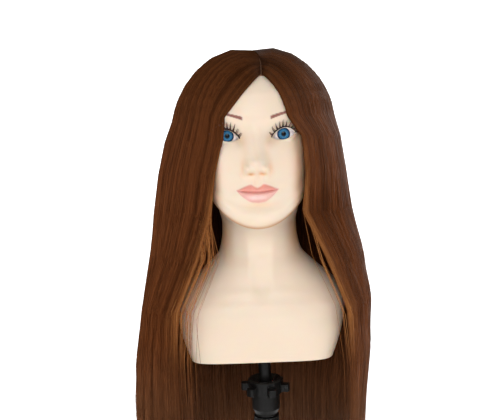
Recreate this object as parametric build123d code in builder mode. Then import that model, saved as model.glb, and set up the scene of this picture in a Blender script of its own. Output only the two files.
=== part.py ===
"""Mannequin training head on a table clamp.

Millimetres, +Z up, the face looks towards -Y and +X is on the viewer's right.
The origin is on the underside of the upper jaw's pad, on the post's axis: the
table top that the clamp grips lies at Z = 0. Left and right are the head's own.
"""

import os
from math import sqrt

from build123d import *

os.makedirs("parts", exist_ok=True)

# ---------------------------------------------------------------- driving sizes
# Clamp frame
JAW_PAD_T = 2.0
ARM_T = 20.0
ARM_W = 30.0
ARM_FRONT = -24.0
SPINE_IN = 38.0
SPINE_T = 16.0
SPINE_FILLET = 8.0
LOWER_ARM_TOP = -60.0
LOWER_ARM_T = 18.0
LOWER_ARM_FRONT = -16.0
POCKET_LENGTH = 58.0
POCKET_DEPTH = 3.0
BOSS_R = 15.0
BOSS_STEP = 4.0
STEM_R = 16.0
STEM_FOOT_R = 20.0
STEM_FOOT_H = 22.0
STEM_TOP = 103.0
GUSSET_T = 5.0
WEB_T = 10.0
ACCESS_R = 8.5

# Clamp screw, its foot and its bar
SCREW_R = 5.0
INSERT_R = 8.0
THROAT = 30.0
FOOT_R = 16.0
FOOT_T = 7.0
FOOT_HUB_R = 8.5
FOOT_HUB_H = 6.0
FOOT_PAD_R = 15.0
FOOT_PAD_T = 2.0
SCREW_BALL_R = 4.5
SCREW_NECK_R = 3.3
SCREW_HEAD_TOP = -112.0
SCREW_HEAD_R = 9.0
SCREW_HEAD_H = 16.0
BAR_R = 3.0
BAR_LENGTH = 96.0
CAP_R = 5.5
CAP_LENGTH = 8.0

# Swivel cup, ball joint and lock ring
BALL_Z = 136.0
BALL_R = 14.0
SEAT_R = 14.3
SPIGOT_R = 9.0
SPIGOT_BOTTOM = 62.0
CUP_WAIST_R = 14.5
CUP_BOTTOM = 104.4
CUP_R = 17.8
CUP_TAPER_TOP = 113.0
CUP_THREAD_R = 19.0
CUP_TOP = 141.0
CUP_CAVITY_R = 15.0
CUP_CAVITY_BOTTOM = 118.0
SEAT_TOP = 132.0
RING_R = 22.0
RING_BORE_R = 19.3
RING_BOTTOM = 134.0
RING_LIP = 142.0
RING_LIP_TOP = 144.0
RING_TOP = 151.5
RING_MOUTH_R = 17.0
LUG_COUNT = 6
LUG_TIP_R = 31.5
LUG_W = 10.5
LUG_BOTTOM = 135.5
LUG_H = 9.0
LUG_TURN = -12.0
RETAINER_R = 2.5
RETAINER_HEAD_R = 4.4
WASHER_R = 7.5
WASHER_T = 1.5

# Post and the sleeve it fits
RUNNING_GAP = 0.08
POST_R = 8.0
POST_TIP_R = 7.6
POST_TAPER_Z = 188.0
POST_TOP = 262.0
SLEEVE_R = 11.6
SLEEVE_TOP = 267.0
FLANGE_R = 18.0
FLANGE_T = 3.0

# Head and bust
BUST_Z = 190.0
SKIN_T = 4.0
CORE_GAP = 0.1
PLATE_T = 6.0
PLATE_SCREW_R = 2.0
PLATE_SCREW_HEAD_R = 4.0
PLATE_SCREW_X = 110.0
PLATE_SCREW_Y = 62.0
PLATE_SCREW_LENGTH = 24.0
SKULL = (0.0, -2.0, 470.0)
SKULL_AXES = (72.0, 92.0, 91.0)
MOUTH = (0.0, -92.0, 395.0)
MOUTH_AXES = (24.0, 9.0, 10.0)
EYE_X, EYE_Y, EYE_Z = 31.7, -73.0, 461.0
EYE_R = 13.0
EYE_SIDES = {"left": 1, "right": -1}
SEAM_INSIDE = (0, 0, 90)
CORNEA_R = 7.8
CORNEA_OUT = 6.4
LASH_IN = 13.3
LASH_OUT = 20.0
LASH_T = 0.8
LASH_NORMAL = (0.0, 0.45, 0.89)
SCALP_T = 1.2
HAIRLINE = (0.0, -74.0, 528.0)
HAIRLINE_NORMAL = (0.0, 0.57, 0.82)

# Level sections of the bust: height, half width, half depth, centre Y, corner radius
BUST_SECTIONS = [
    (BUST_Z, 84.0, 56.0, 0.0, 40.0),
    (241.0, 103.0, 60.0, 0.0, 46.0),
    (264.0, 99.0, 54.0, 1.0, 44.0),
    (285.0, 86.0, 48.0, 3.0, 42.0),
    (304.0, 68.0, 44.0, 5.0, 42.0),
    (322.0, 50.0, 44.0, 6.0, 41.0),
]
# Level ellipses of the neck, the face and the nose: height, half width, half depth, centre Y
NECK_SECTIONS = [
    (288.0, 54.0, 46.0, 6.0),
    (325.0, 47.0, 46.0, 7.0),
    (360.0, 46.0, 48.0, 8.0),
    (405.0, 50.0, 54.0, 12.0),
]
FACE_SECTIONS = [
    (354.0, 20.0, 24.0, -58.0),
    (366.0, 40.0, 42.0, -46.0),
    (395.0, 56.0, 64.0, -31.0),
    (430.0, 64.0, 80.0, -16.0),
    (470.0, 71.0, 91.0, -2.0),
]
NOSE_SECTIONS = [
    (417.0, 12.0, 8.0, -96.0),
    (430.0, 9.0, 12.0, -103.0),
    (464.0, 5.0, 6.0, -86.0),
]
# Level ellipses of the hair's outside: height, half width, half depth, centre Y, centre X
HAIR_END = 52.0
HAIR_SECTIONS = [
    (HAIR_END, 146.0, 95.0, 6.0, -20.0),
    (149.0, 148.0, 96.0, 6.0, -19.0),
    (228.0, 147.0, 97.0, 5.0, -11.0),
    (305.0, 136.0, 97.0, 4.0, -5.0),
    (381.0, 123.0, 98.0, 5.0, -7.0),
    (456.0, 111.0, 99.0, 6.0, -5.0),
    (494.0, 99.0, 96.0, 5.0, -2.0),
    (530.0, 81.0, 84.0, 3.0, 0.0),
    (552.0, 60.0, 64.0, 2.0, 0.0),
    (565.0, 36.0, 40.0, 2.0, 0.0),
    (569.0, 14.0, 16.0, 2.0, 0.0),
]
HAIR_T = 16.0
HAIR_CROWN_Z = 494.0
HAIR_BACK_Y = 34.0
HAIR_PARTING = 0.6
# Half outline of the opening in front of the face and the chest: half width, height
FACE_OPENING = [
    (0.0, 531.0),
    (38.0, 492.0),
    (51.0, 470.0),
    (53.0, 400.0),
    (60.0, 350.0),
    (76.0, 300.0),
    (98.0, 252.0),
    (104.0, 190.0),
    (104.0, HAIR_END - 5),
]

# ---------------------------------------------------------------- derived heights
jaw_bottom = JAW_PAD_T
jaw_top = jaw_bottom + ARM_T
spine_out = SPINE_IN + SPINE_T
lower_bottom = LOWER_ARM_TOP - LOWER_ARM_T
boss_bottom = lower_bottom - BOSS_STEP
boss_h = LOWER_ARM_T + 2 * BOSS_STEP
web_top = SPIGOT_BOTTOM - 0.1
web_bottom = web_top - WEB_T
washer_top = web_bottom - 0.1
foot_pad_top = -THROAT
foot_top = foot_pad_top - FOOT_PAD_T
foot_bottom = foot_top - FOOT_T
screw_ball_z = foot_bottom - 0.5
bar_z = SCREW_HEAD_TOP - SCREW_HEAD_H / 2


def save(part, name):
    """Labels a finished piece and writes it under its node's name."""
    part.label = name
    export_step(part, f"parts/{name}.step")


def ellipse_form(sections, grow=0.0):
    """A closed form through level ellipses, moved outwards all over by grow."""
    last = len(sections) - 1
    with BuildPart() as form:
        for index, (z, half_width, half_depth, centre_y, *centre_x) in enumerate(sections):
            level = z - grow if index == 0 else z + grow if index == last else z
            with BuildSketch(Plane.XY.offset(level)):
                with Locations((centre_x[0] if centre_x else 0.0, centre_y)):
                    Ellipse(half_width + grow, half_depth + grow)
        loft()
    return form.part


def bust_form(grow=0.0):
    """The bust from its flat base to the root of the neck; the base stays level."""
    top = BUST_SECTIONS[-1][0]
    with BuildPart() as form:
        for z, half_width, half_depth, centre_y, corner in BUST_SECTIONS:
            with BuildSketch(Plane.XY.offset(z + grow if z == top else z)):
                with Locations((0, centre_y)):
                    RectangleRounded(2 * (half_width + grow), 2 * (half_depth + grow), corner + grow)
        loft()
    return form.part


def ellipsoid(centre, axes, grow=0.0):
    """An ellipsoid, moved outwards all over by grow."""
    with BuildPart() as form:
        Sphere(1.0)
        scale(by=tuple(axis + grow for axis in axes))
    return form.part.moved(Location(centre))


def head_form(grow=0.0):
    """Skull, face, neck and bust as one closed form."""
    with BuildPart() as form:
        add(bust_form(grow))
        add(ellipse_form(NECK_SECTIONS, grow))
        add(ellipse_form(FACE_SECTIONS, grow))
        add(ellipsoid(SKULL, SKULL_AXES, grow))
    return form.part


def sphere_radius_at(height, radius):
    """Radius of a ball's level circle at a height from its centre."""
    return sqrt(radius**2 - height**2)


# ---------------------------------------------------------------- clamp frame
with BuildPart() as clamp_frame:
    with BuildSketch(Plane.YZ):
        with BuildLine():
            Polyline(
                (ARM_FRONT, jaw_bottom),
                (SPINE_IN, jaw_bottom),
                (SPINE_IN, LOWER_ARM_TOP),
                (LOWER_ARM_FRONT, LOWER_ARM_TOP),
                (LOWER_ARM_FRONT, lower_bottom + 6),
                (LOWER_ARM_FRONT + 8, lower_bottom),
                (spine_out - 10, lower_bottom),
                (spine_out, lower_bottom + 10),
                (spine_out, jaw_top - 10),
                (spine_out - 10, jaw_top),
                (ARM_FRONT + 4, jaw_top),
                (ARM_FRONT, jaw_top - 4),
                close=True,
            )
        make_face()
    extrude(amount=ARM_W / 2, both=True)
    inner_corners = (
        clamp_frame.edges()
        .filter_by(Axis.X)
        .filter_by_position(Axis.Y, SPINE_IN - 0.1, SPINE_IN + 0.1)
    )
    fillet(inner_corners, SPINE_FILLET)
    # Pockets along both sides of the spine leave an I-beam
    for side in (-1, 1):
        with BuildSketch(Plane.YZ.offset(side * ARM_W / 2)):
            with Locations((SPINE_IN + SPINE_T / 2, (jaw_bottom + LOWER_ARM_TOP) / 2)):
                SlotOverall(POCKET_LENGTH, SPINE_T - 6, rotation=90)
        extrude(amount=-side * POCKET_DEPTH, mode=Mode.SUBTRACT)
    # Flared foot of the stem, the stem, and the boss round the screw
    with BuildSketch(Plane.XY.offset(jaw_top - 1)):
        Circle(STEM_FOOT_R)
    with BuildSketch(Plane.XY.offset(jaw_top + STEM_FOOT_H)):
        Circle(STEM_R)
    loft()
    with BuildSketch(Plane.XY.offset(jaw_top)):
        Circle(STEM_R)
    extrude(amount=STEM_TOP - jaw_top)
    with BuildSketch(Plane.XY.offset(boss_bottom)):
        Circle(BOSS_R)
    extrude(amount=boss_h)
    # Gussets run up the stem from front to back
    with BuildSketch(Plane.YZ):
        with BuildLine():
            Polyline(
                (-STEM_FOOT_R - 2, jaw_top - 1),
                (STEM_FOOT_R + 8, jaw_top - 1),
                (STEM_R - 0.6, jaw_top + 54),
                (0.6 - STEM_R, jaw_top + 54),
                close=True,
            )
        make_face()
    extrude(amount=GUSSET_T / 2, both=True)
    # Bore for the spigot, hole in the web, access from below, bore for the insert
    with BuildSketch(Plane.XY.offset(web_top)):
        Circle(SPIGOT_R + RUNNING_GAP)
    extrude(amount=STEM_TOP - web_top, mode=Mode.SUBTRACT)
    with BuildSketch(Plane.XY.offset(web_bottom)):
        Circle(RETAINER_R + 0.3)
    extrude(amount=WEB_T, mode=Mode.SUBTRACT)
    with BuildSketch(Plane.XY.offset(jaw_bottom)):
        Circle(ACCESS_R)
    extrude(amount=web_bottom - jaw_bottom, mode=Mode.SUBTRACT)
    with BuildSketch(Plane.XY.offset(boss_bottom)):
        Circle(INSERT_R)
    extrude(amount=boss_h, mode=Mode.SUBTRACT)
save(clamp_frame.part, "clamp_frame")

with BuildPart() as jaw_pad:
    with BuildSketch():
        with Locations((0, (ARM_FRONT + SPINE_IN - SPINE_FILLET) / 2)):
            RectangleRounded(ARM_W, SPINE_IN - SPINE_FILLET - ARM_FRONT, 2)
    extrude(amount=JAW_PAD_T)
save(jaw_pad.part, "jaw_pad")

with BuildPart() as thread_insert:
    with BuildSketch(Plane.XY.offset(boss_bottom)):
        Circle(INSERT_R)
        Circle(SCREW_R + RUNNING_GAP, mode=Mode.SUBTRACT)
    extrude(amount=boss_h)
save(thread_insert.part, "thread_insert")

# ---------------------------------------------------------------- clamp screw
with BuildPart() as clamp_screw:
    with Locations((0, 0, screw_ball_z)):
        Sphere(SCREW_BALL_R)
    with BuildSketch(Plane.XY.offset(SCREW_HEAD_TOP)):
        Circle(SCREW_NECK_R)
    extrude(amount=screw_ball_z - SCREW_HEAD_TOP)
    with BuildSketch(Plane.XY.offset(SCREW_HEAD_TOP)):
        Circle(SCREW_R)
    extrude(amount=foot_bottom - FOOT_HUB_H - 1 - SCREW_HEAD_TOP)
    with BuildSketch(Plane.XY.offset(SCREW_HEAD_TOP - SCREW_HEAD_H)):
        Circle(SCREW_HEAD_R)
    extrude(amount=SCREW_HEAD_H)
    chamfer(clamp_screw.edges().filter_by(GeomType.CIRCLE).group_by(Axis.Z)[0], 1.5)
    with BuildSketch(Plane.YZ.offset(-SCREW_HEAD_R)):
        with Locations((0, bar_z)):
            Circle(BAR_R + RUNNING_GAP)
    extrude(amount=2 * SCREW_HEAD_R, mode=Mode.SUBTRACT)
save(clamp_screw.part, "clamp_screw")

with BuildPart() as pressure_pad:
    with BuildSketch(Plane.XY.offset(foot_bottom)):
        Circle(FOOT_R)
    extrude(amount=FOOT_T)
    chamfer(pressure_pad.edges().group_by(Axis.Z)[0], 2)
    with BuildSketch(Plane.XY.offset(foot_bottom - FOOT_HUB_H)):
        Circle(FOOT_HUB_R)
    extrude(amount=FOOT_HUB_H)
    with Locations((0, 0, screw_ball_z)):
        Sphere(SCREW_BALL_R + 0.3, mode=Mode.SUBTRACT)
    with BuildSketch(Plane.XY.offset(foot_bottom - FOOT_HUB_H)):
        Circle(SCREW_NECK_R + 0.5)
    extrude(amount=FOOT_HUB_H - 2, mode=Mode.SUBTRACT)
save(pressure_pad.part, "pressure_pad")

with BuildPart() as pad_rubber:
    with BuildSketch(Plane.XY.offset(foot_top)):
        Circle(FOOT_PAD_R)
    extrude(amount=FOOT_PAD_T)
save(pad_rubber.part, "pad_rubber")

with BuildPart() as tommy_bar:
    with BuildSketch(Plane.YZ.offset(-BAR_LENGTH / 2)):
        with Locations((0, bar_z)):
            Circle(BAR_R)
    extrude(amount=BAR_LENGTH)
save(tommy_bar.part, "tommy_bar")

with BuildPart() as tommy_bar_caps:
    for end in (-1, 1):
        with BuildSketch(Plane.YZ.offset(end * (BAR_LENGTH / 2 - CAP_LENGTH + 2))):
            with Locations((0, bar_z)):
                Circle(CAP_R)
        extrude(amount=end * CAP_LENGTH)
    chamfer(tommy_bar_caps.edges().filter_by(GeomType.CIRCLE), 1)
    add(tommy_bar.part, mode=Mode.SUBTRACT)
save(tommy_bar_caps.part, "tommy_bar_caps")

# ---------------------------------------------------------------- swivel cup
with BuildPart() as cup_body:
    with BuildSketch(Plane.XZ):
        with BuildLine():
            Polyline(
                (0, SPIGOT_BOTTOM + 20),
                (RETAINER_R, SPIGOT_BOTTOM + 20),
                (RETAINER_R, SPIGOT_BOTTOM),
                (SPIGOT_R, SPIGOT_BOTTOM),
                (SPIGOT_R, CUP_BOTTOM),
                (CUP_WAIST_R, CUP_BOTTOM),
                (CUP_WAIST_R, CUP_BOTTOM + 2),
                (CUP_R, CUP_TAPER_TOP),
                (CUP_R, RING_BOTTOM - 1),
                (CUP_THREAD_R, RING_BOTTOM),
                (CUP_THREAD_R, CUP_TOP),
                (CUP_CAVITY_R, CUP_TOP),
                (CUP_CAVITY_R, CUP_CAVITY_BOTTOM),
                (0, CUP_CAVITY_BOTTOM),
                close=True,
            )
        make_face()
    revolve(axis=Axis.Z)
save(cup_body.part, "cup_body")

with BuildPart() as ball_seat:
    with BuildSketch(Plane.XY.offset(CUP_CAVITY_BOTTOM)):
        Circle(CUP_CAVITY_R)
    extrude(amount=SEAT_TOP - CUP_CAVITY_BOTTOM)
    with Locations((0, 0, BALL_Z)):
        Sphere(SEAT_R, mode=Mode.SUBTRACT)
save(ball_seat.part, "ball_seat")

with BuildPart() as retaining_washer:
    with BuildSketch(Plane.XY.offset(washer_top - WASHER_T)):
        Circle(WASHER_R)
        Circle(RETAINER_R, mode=Mode.SUBTRACT)
    extrude(amount=WASHER_T)
save(retaining_washer.part, "retaining_washer")

with BuildPart() as retaining_screw:
    with BuildSketch(Plane.XY.offset(washer_top - WASHER_T)):
        Circle(RETAINER_R)
    extrude(amount=SPIGOT_BOTTOM + 18 - washer_top + WASHER_T)
    with BuildSketch(Plane.XY.offset(washer_top - WASHER_T)):
        Circle(RETAINER_HEAD_R)
    extrude(amount=-4)
    with BuildSketch(Plane.XY.offset(washer_top - WASHER_T - 4)):
        RegularPolygon(2.3, 6)
    extrude(amount=2.5, mode=Mode.SUBTRACT)
save(retaining_screw.part, "retaining_screw")

with BuildPart() as lock_ring:
    with BuildSketch(Plane.XZ):
        with BuildLine():
            low = (sphere_radius_at(RING_LIP - BALL_Z, SEAT_R), RING_LIP)
            high = (sphere_radius_at(RING_LIP_TOP - BALL_Z, SEAT_R), RING_LIP_TOP)
            Polyline(
                high,
                (RING_MOUTH_R, RING_TOP),
                (RING_R - 1.5, RING_TOP),
                (RING_R, RING_TOP - 1.5),
                (RING_R, RING_BOTTOM),
                (RING_BORE_R, RING_BOTTOM),
                (RING_BORE_R, RING_LIP),
                low,
            )
            RadiusArc(low, high, -SEAT_R)
        make_face()
    revolve(axis=Axis.Z)
    # Finger lugs with rounded tips stand out all round
    with BuildSketch(Plane.XY.offset(LUG_BOTTOM)):
        with PolarLocations(0, LUG_COUNT, start_angle=LUG_TURN):
            with Locations((LUG_TIP_R - 8, 0)):
                RectangleRounded(16, LUG_W, 3)
        Circle(RING_R - 1, mode=Mode.SUBTRACT)
    extrude(amount=LUG_H)
save(lock_ring.part, "lock_ring")

# ---------------------------------------------------------------- post
with BuildPart() as post:
    with Locations((0, 0, BALL_Z)):
        Sphere(BALL_R)
    with BuildSketch(Plane.XZ):
        with BuildLine():
            Polyline(
                (0, BALL_Z),
                (POST_R, BALL_Z),
                (POST_R, POST_TAPER_Z),
                (POST_TIP_R, POST_TOP - 3),
                (POST_TIP_R - 3, POST_TOP),
                (0, POST_TOP),
                close=True,
            )
        make_face()
    revolve(axis=Axis.Z)
save(post.part, "post")

with BuildPart() as socket_sleeve:
    with BuildSketch(Plane.XZ):
        with BuildLine():
            Polyline(
                (POST_R + RUNNING_GAP, BUST_Z),
                (FLANGE_R, BUST_Z),
                (FLANGE_R, BUST_Z + FLANGE_T),
                (SLEEVE_R, BUST_Z + FLANGE_T),
                (SLEEVE_R, SLEEVE_TOP),
                (0, SLEEVE_TOP),
                (0, POST_TOP + 2),
                (POST_TIP_R + RUNNING_GAP, POST_TOP + 2),
                close=True,
            )
        make_face()
    revolve(axis=Axis.Z)
save(socket_sleeve.part, "socket_sleeve")

# ---------------------------------------------------------------- head and bust
outer_form = head_form()
inner_form = head_form(-SKIN_T)

eyes = {}
for name, side in EYE_SIDES.items():
    with BuildPart() as eye:
        with Locations((side * EYE_X, EYE_Y, EYE_Z)):
            Sphere(EYE_R, rotation=SEAM_INSIDE)
        with Locations((side * EYE_X, EYE_Y - CORNEA_OUT, EYE_Z)):
            Sphere(CORNEA_R)
    eyes[name] = eye.part
    save(eye.part, f"{name}_eye")

with BuildPart() as base_screws:
    screw_places = GridLocations(PLATE_SCREW_X, PLATE_SCREW_Y, 2, 2)
    with BuildSketch(Plane.XY.offset(BUST_Z)):
        with screw_places:
            Circle(PLATE_SCREW_R)
    extrude(amount=PLATE_SCREW_LENGTH)
    with BuildSketch(Plane.XY.offset(BUST_Z)):
        with screw_places:
            Circle(PLATE_SCREW_HEAD_R)
    extrude(amount=PLATE_SCREW_HEAD_R - PLATE_SCREW_R, taper=45)
save(base_screws.part, "base_screws")

with BuildPart() as base_plate:
    _, base_width, base_depth, base_y, base_corner = BUST_SECTIONS[0]
    rim = SKIN_T + CORE_GAP
    with BuildSketch(Plane.XY.offset(BUST_Z)):
        with Locations((0, base_y)):
            RectangleRounded(2 * (base_width - rim), 2 * (base_depth - rim), base_corner - rim)
    extrude(amount=PLATE_T)
    add(socket_sleeve.part, mode=Mode.SUBTRACT)
    with BuildSketch(Plane.XY.offset(BUST_Z)):
        Circle(SLEEVE_R)
    extrude(amount=PLATE_T, mode=Mode.SUBTRACT)
    add(base_screws.part, mode=Mode.SUBTRACT)
save(base_plate.part, "base_plate")

with BuildPart() as head_shell:
    add(outer_form)
    add(ellipse_form(NOSE_SECTIONS))
    add(ellipsoid(MOUTH, MOUTH_AXES))
    add(inner_form, mode=Mode.SUBTRACT)
    for eye_part in eyes.values():
        add(eye_part, mode=Mode.SUBTRACT)
save(head_shell.part, "head_shell")

with BuildPart() as foam_core:
    add(head_form(-SKIN_T - CORE_GAP))
    for side in EYE_SIDES.values():
        with Locations((side * EYE_X, EYE_Y, EYE_Z)):
            Sphere(EYE_R + CORE_GAP, rotation=SEAM_INSIDE, mode=Mode.SUBTRACT)
    with BuildSketch(Plane.XY.offset(BUST_Z)):
        Circle(SLEEVE_R)
    extrude(amount=SLEEVE_TOP - BUST_Z, mode=Mode.SUBTRACT)
    add(base_screws.part, mode=Mode.SUBTRACT)
    with BuildSketch(Plane.XY.offset(BUST_Z)):
        Rectangle(2 * base_width, 2 * base_depth)
    extrude(amount=PLATE_T, mode=Mode.SUBTRACT)
save(foam_core.part, "foam_core")

with BuildPart() as scalp_cap:
    add(ellipsoid(SKULL, SKULL_AXES, SCALP_T))
    add(ellipsoid(SKULL, SKULL_AXES), mode=Mode.SUBTRACT)
    split(bisect_by=Plane(origin=HAIRLINE, x_dir=(1, 0, 0), z_dir=HAIRLINE_NORMAL), keep=Keep.TOP)
save(scalp_cap.part, "scalp_cap")

# ---------------------------------------------------------------- lashes
for name, side in EYE_SIDES.items():
    centre = (side * EYE_X, EYE_Y, EYE_Z)
    with BuildPart() as lashes:
        with BuildSketch(Plane(origin=centre, x_dir=(1, 0, 0), z_dir=LASH_NORMAL)):
            Circle(LASH_OUT)
            Circle(LASH_IN, mode=Mode.SUBTRACT)
            with Locations((0, -LASH_OUT)):
                Rectangle(2 * LASH_OUT, 2 * LASH_IN, mode=Mode.INTERSECT)
        extrude(amount=LASH_T)
        add(outer_form, mode=Mode.SUBTRACT)
    save(lashes.part, f"{name}_lashes")

# ---------------------------------------------------------------- hair
with BuildPart() as hair_form:
    add(ellipse_form(HAIR_SECTIONS))
    add(head_form(SCALP_T + CORE_GAP), mode=Mode.SUBTRACT)
    hanging = [section for section in HAIR_SECTIONS if section[0] <= HAIR_CROWN_Z]
    with BuildSketch(Plane.XY.offset(HAIR_END)):
        with Locations((hanging[0][4], hanging[0][3])):
            Ellipse(hanging[0][1] - HAIR_T, hanging[0][2] - HAIR_T)
    extrude(amount=HAIR_T, mode=Mode.SUBTRACT)
    add(ellipse_form(hanging, -HAIR_T), mode=Mode.SUBTRACT)
    right_side = [(-x, z) for x, z in FACE_OPENING[:0:-1]]
    with BuildSketch(Plane.XZ.offset(20)):
        with BuildLine():
            Polyline(*(FACE_OPENING + right_side), close=True)
        make_face()
    extrude(amount=150, mode=Mode.SUBTRACT)

hair_top = HAIR_SECTIONS[-1][0]
hair_reach = 400.0
# Box of each hair piece: low corner, high corner
HAIR_BOXES = {
    "hair_crown": ((-hair_reach, -hair_reach, HAIR_CROWN_Z), (hair_reach, hair_reach, hair_top + 1)),
    "hair_back": ((-hair_reach, HAIR_BACK_Y, HAIR_END - 1), (hair_reach, hair_reach, HAIR_CROWN_Z)),
    "hair_left": ((0, -hair_reach, HAIR_END - 1), (hair_reach, HAIR_BACK_Y, HAIR_CROWN_Z)),
    "hair_right": ((-hair_reach, -hair_reach, HAIR_END - 1), (0, HAIR_BACK_Y, HAIR_CROWN_Z)),
}
for name, (low, high) in HAIR_BOXES.items():
    size = [h - l - HAIR_PARTING for l, h in zip(low, high)]
    middle = tuple((l + h) / 2 for l, h in zip(low, high))
    with BuildPart() as hair_piece:
        add(hair_form.part)
        with Locations(middle):
            Box(*size, mode=Mode.INTERSECT)
    save(hair_piece.part, name)
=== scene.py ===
"""Looks of the mannequin training head: skin, eyes, lashes, long hair and the holder's finishes.

Metres, in the frame's own axes: +Z up, the face looks towards -Y. Shapes are worked out in
millimetres and scaled as they are written to a mesh. Left and right are the head's own.
"""

from math import cos, pi, radians, sin

import bmesh
import bpy
import numpy as np
from mathutils import Matrix, Vector
from mathutils.bvhtree import BVHTree


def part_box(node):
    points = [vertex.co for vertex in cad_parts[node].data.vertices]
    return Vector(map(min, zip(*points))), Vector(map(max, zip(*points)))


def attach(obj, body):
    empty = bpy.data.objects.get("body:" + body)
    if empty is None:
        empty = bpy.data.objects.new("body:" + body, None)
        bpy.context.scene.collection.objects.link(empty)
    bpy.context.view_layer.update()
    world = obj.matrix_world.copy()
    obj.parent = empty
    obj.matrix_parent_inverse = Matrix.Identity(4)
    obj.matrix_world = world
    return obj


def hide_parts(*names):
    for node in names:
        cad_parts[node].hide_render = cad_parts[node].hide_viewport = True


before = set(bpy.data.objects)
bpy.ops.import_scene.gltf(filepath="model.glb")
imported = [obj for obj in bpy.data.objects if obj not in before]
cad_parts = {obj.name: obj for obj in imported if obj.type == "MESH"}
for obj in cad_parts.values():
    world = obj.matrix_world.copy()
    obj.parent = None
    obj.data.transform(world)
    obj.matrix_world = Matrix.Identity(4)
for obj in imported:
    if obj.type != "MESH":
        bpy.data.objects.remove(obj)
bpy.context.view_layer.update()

MM = 0.001
SIDES = {"left": 1, "right": -1}

# ---------------------------------------------------------------- camera, stage, lights
CAMERA_PLACE = (0.0, -0.865, 0.452)
CAMERA_PITCH = radians(5.5)
CAMERA_YAW = radians(0.70)
CAMERA_ROLL = radians(2.35)
CAMERA_LENS = 49.8
FLOOR_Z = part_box("clamp_screw")[0][2] - 0.04
FLOOR_RADIUS = 5.0
WALL_STEPS = ((0.5, 0.07), (0.35, 0.3), (0.1, 0.6), (0.0, 3.0))  # outwards and upwards

# Name, place, the point it is aimed at, side length and power
LIGHTS = [
    ("key", (-0.1, -1.85, 1.15), (0, 0, 0.36), 0.7, 11.4),
    ("fill_left", (-1.7, -1.0, 0.7), (0, 0, 0.35), 1.2, 4.2),
    ("fill_right", (1.7, -1.0, 0.7), (0, 0, 0.35), 1.2, 4.0),
    ("low", (0, -1.5, -0.05), (0, 0, 0.10), 0.8, 2.2),
    ("top", (0, 0.2, 2.0), (0, 0, 0.45), 1.2, 2.5),
]
SKY_STRENGTH = 0.26


def add_camera():
    """A camera in front of the face, a little above it, tipped down and slightly rolled."""
    data = bpy.data.cameras.new("camera")
    data.lens = CAMERA_LENS
    camera = bpy.data.objects.new("camera", data)
    bpy.context.collection.objects.link(camera)
    turn = (
        Matrix.Rotation(CAMERA_YAW, 4, "Z")
        @ Matrix.Rotation(pi / 2 - CAMERA_PITCH, 4, "X")
        @ Matrix.Rotation(-CAMERA_ROLL, 4, "Z")
    )
    camera.matrix_world = Matrix.Translation(CAMERA_PLACE) @ turn
    bpy.context.scene.camera = camera


def add_area_light(name, place, aim, size, power):
    """A soft square light that faces the point aim."""
    data = bpy.data.lights.new(name, "AREA")
    data.size = size
    data.energy = power
    light = bpy.data.objects.new(name, data)
    bpy.context.collection.objects.link(light)
    light.location = place
    light.rotation_euler = (Vector(aim) - Vector(place)).to_track_quat("-Z", "Y").to_euler()


def add_stage():
    """A pale floor that curves up into a pale wall on every side."""
    bm = bmesh.new()
    bmesh.ops.create_circle(bm, cap_ends=True, radius=FLOOR_RADIUS, segments=96)
    rim = [e for e in bm.edges if e.is_boundary]
    for out, up in WALL_STEPS:
        made = bmesh.ops.extrude_edge_only(bm, edges=rim)["geom"]
        verts = [v for v in made if isinstance(v, bmesh.types.BMVert)]
        rim = [e for e in made if isinstance(e, bmesh.types.BMEdge)]
        for v in verts:
            flat = Vector((v.co.x, v.co.y, 0)).normalized()
            v.co += flat * out + Vector((0, 0, up))
    bmesh.ops.reverse_faces(bm, faces=[f for f in bm.faces if f.normal.z < -0.5])
    bmesh.ops.translate(bm, vec=(0, 0, FLOOR_Z), verts=bm.verts)
    floor = new_object("studio_floor", bm)
    floor.data.materials.append(stage_material())


def add_lights():
    for light in LIGHTS:
        add_area_light(*light)
    world = bpy.data.worlds.new("studio")
    world.use_nodes = True
    world.node_tree.nodes["Background"].inputs["Color"].default_value = (1, 1, 1, 1)
    world.node_tree.nodes["Background"].inputs["Strength"].default_value = SKY_STRENGTH
    bpy.context.scene.world = world
    bpy.context.scene.view_settings.view_transform = "Standard"


# ---------------------------------------------------------------- mesh helpers
def new_object(name, bm):
    """Writes a bmesh to a new smooth-shaded object at the origin."""
    mesh = bpy.data.meshes.new(name)
    bm.to_mesh(mesh)
    bm.free()
    mesh.polygons.foreach_set("use_smooth", [True] * len(mesh.polygons))
    made = bpy.data.objects.new(name, mesh)
    bpy.context.collection.objects.link(made)
    return made


def coordinates(mesh):
    """The mesh's points as an array of shape (points, 3)."""
    flat = np.empty(len(mesh.vertices) * 3)
    mesh.vertices.foreach_get("co", flat)
    return flat.reshape(-1, 3)


def set_coordinates(mesh, points):
    mesh.vertices.foreach_set("co", np.ascontiguousarray(points, dtype=np.float32).ravel())
    mesh.update()


def set_attribute(mesh, name, values):
    """Stores one number per point for a material to read."""
    attribute = mesh.attributes.new(name, "FLOAT", "POINT")
    attribute.data.foreach_set("value", np.asarray(values, dtype=np.float32))


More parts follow.
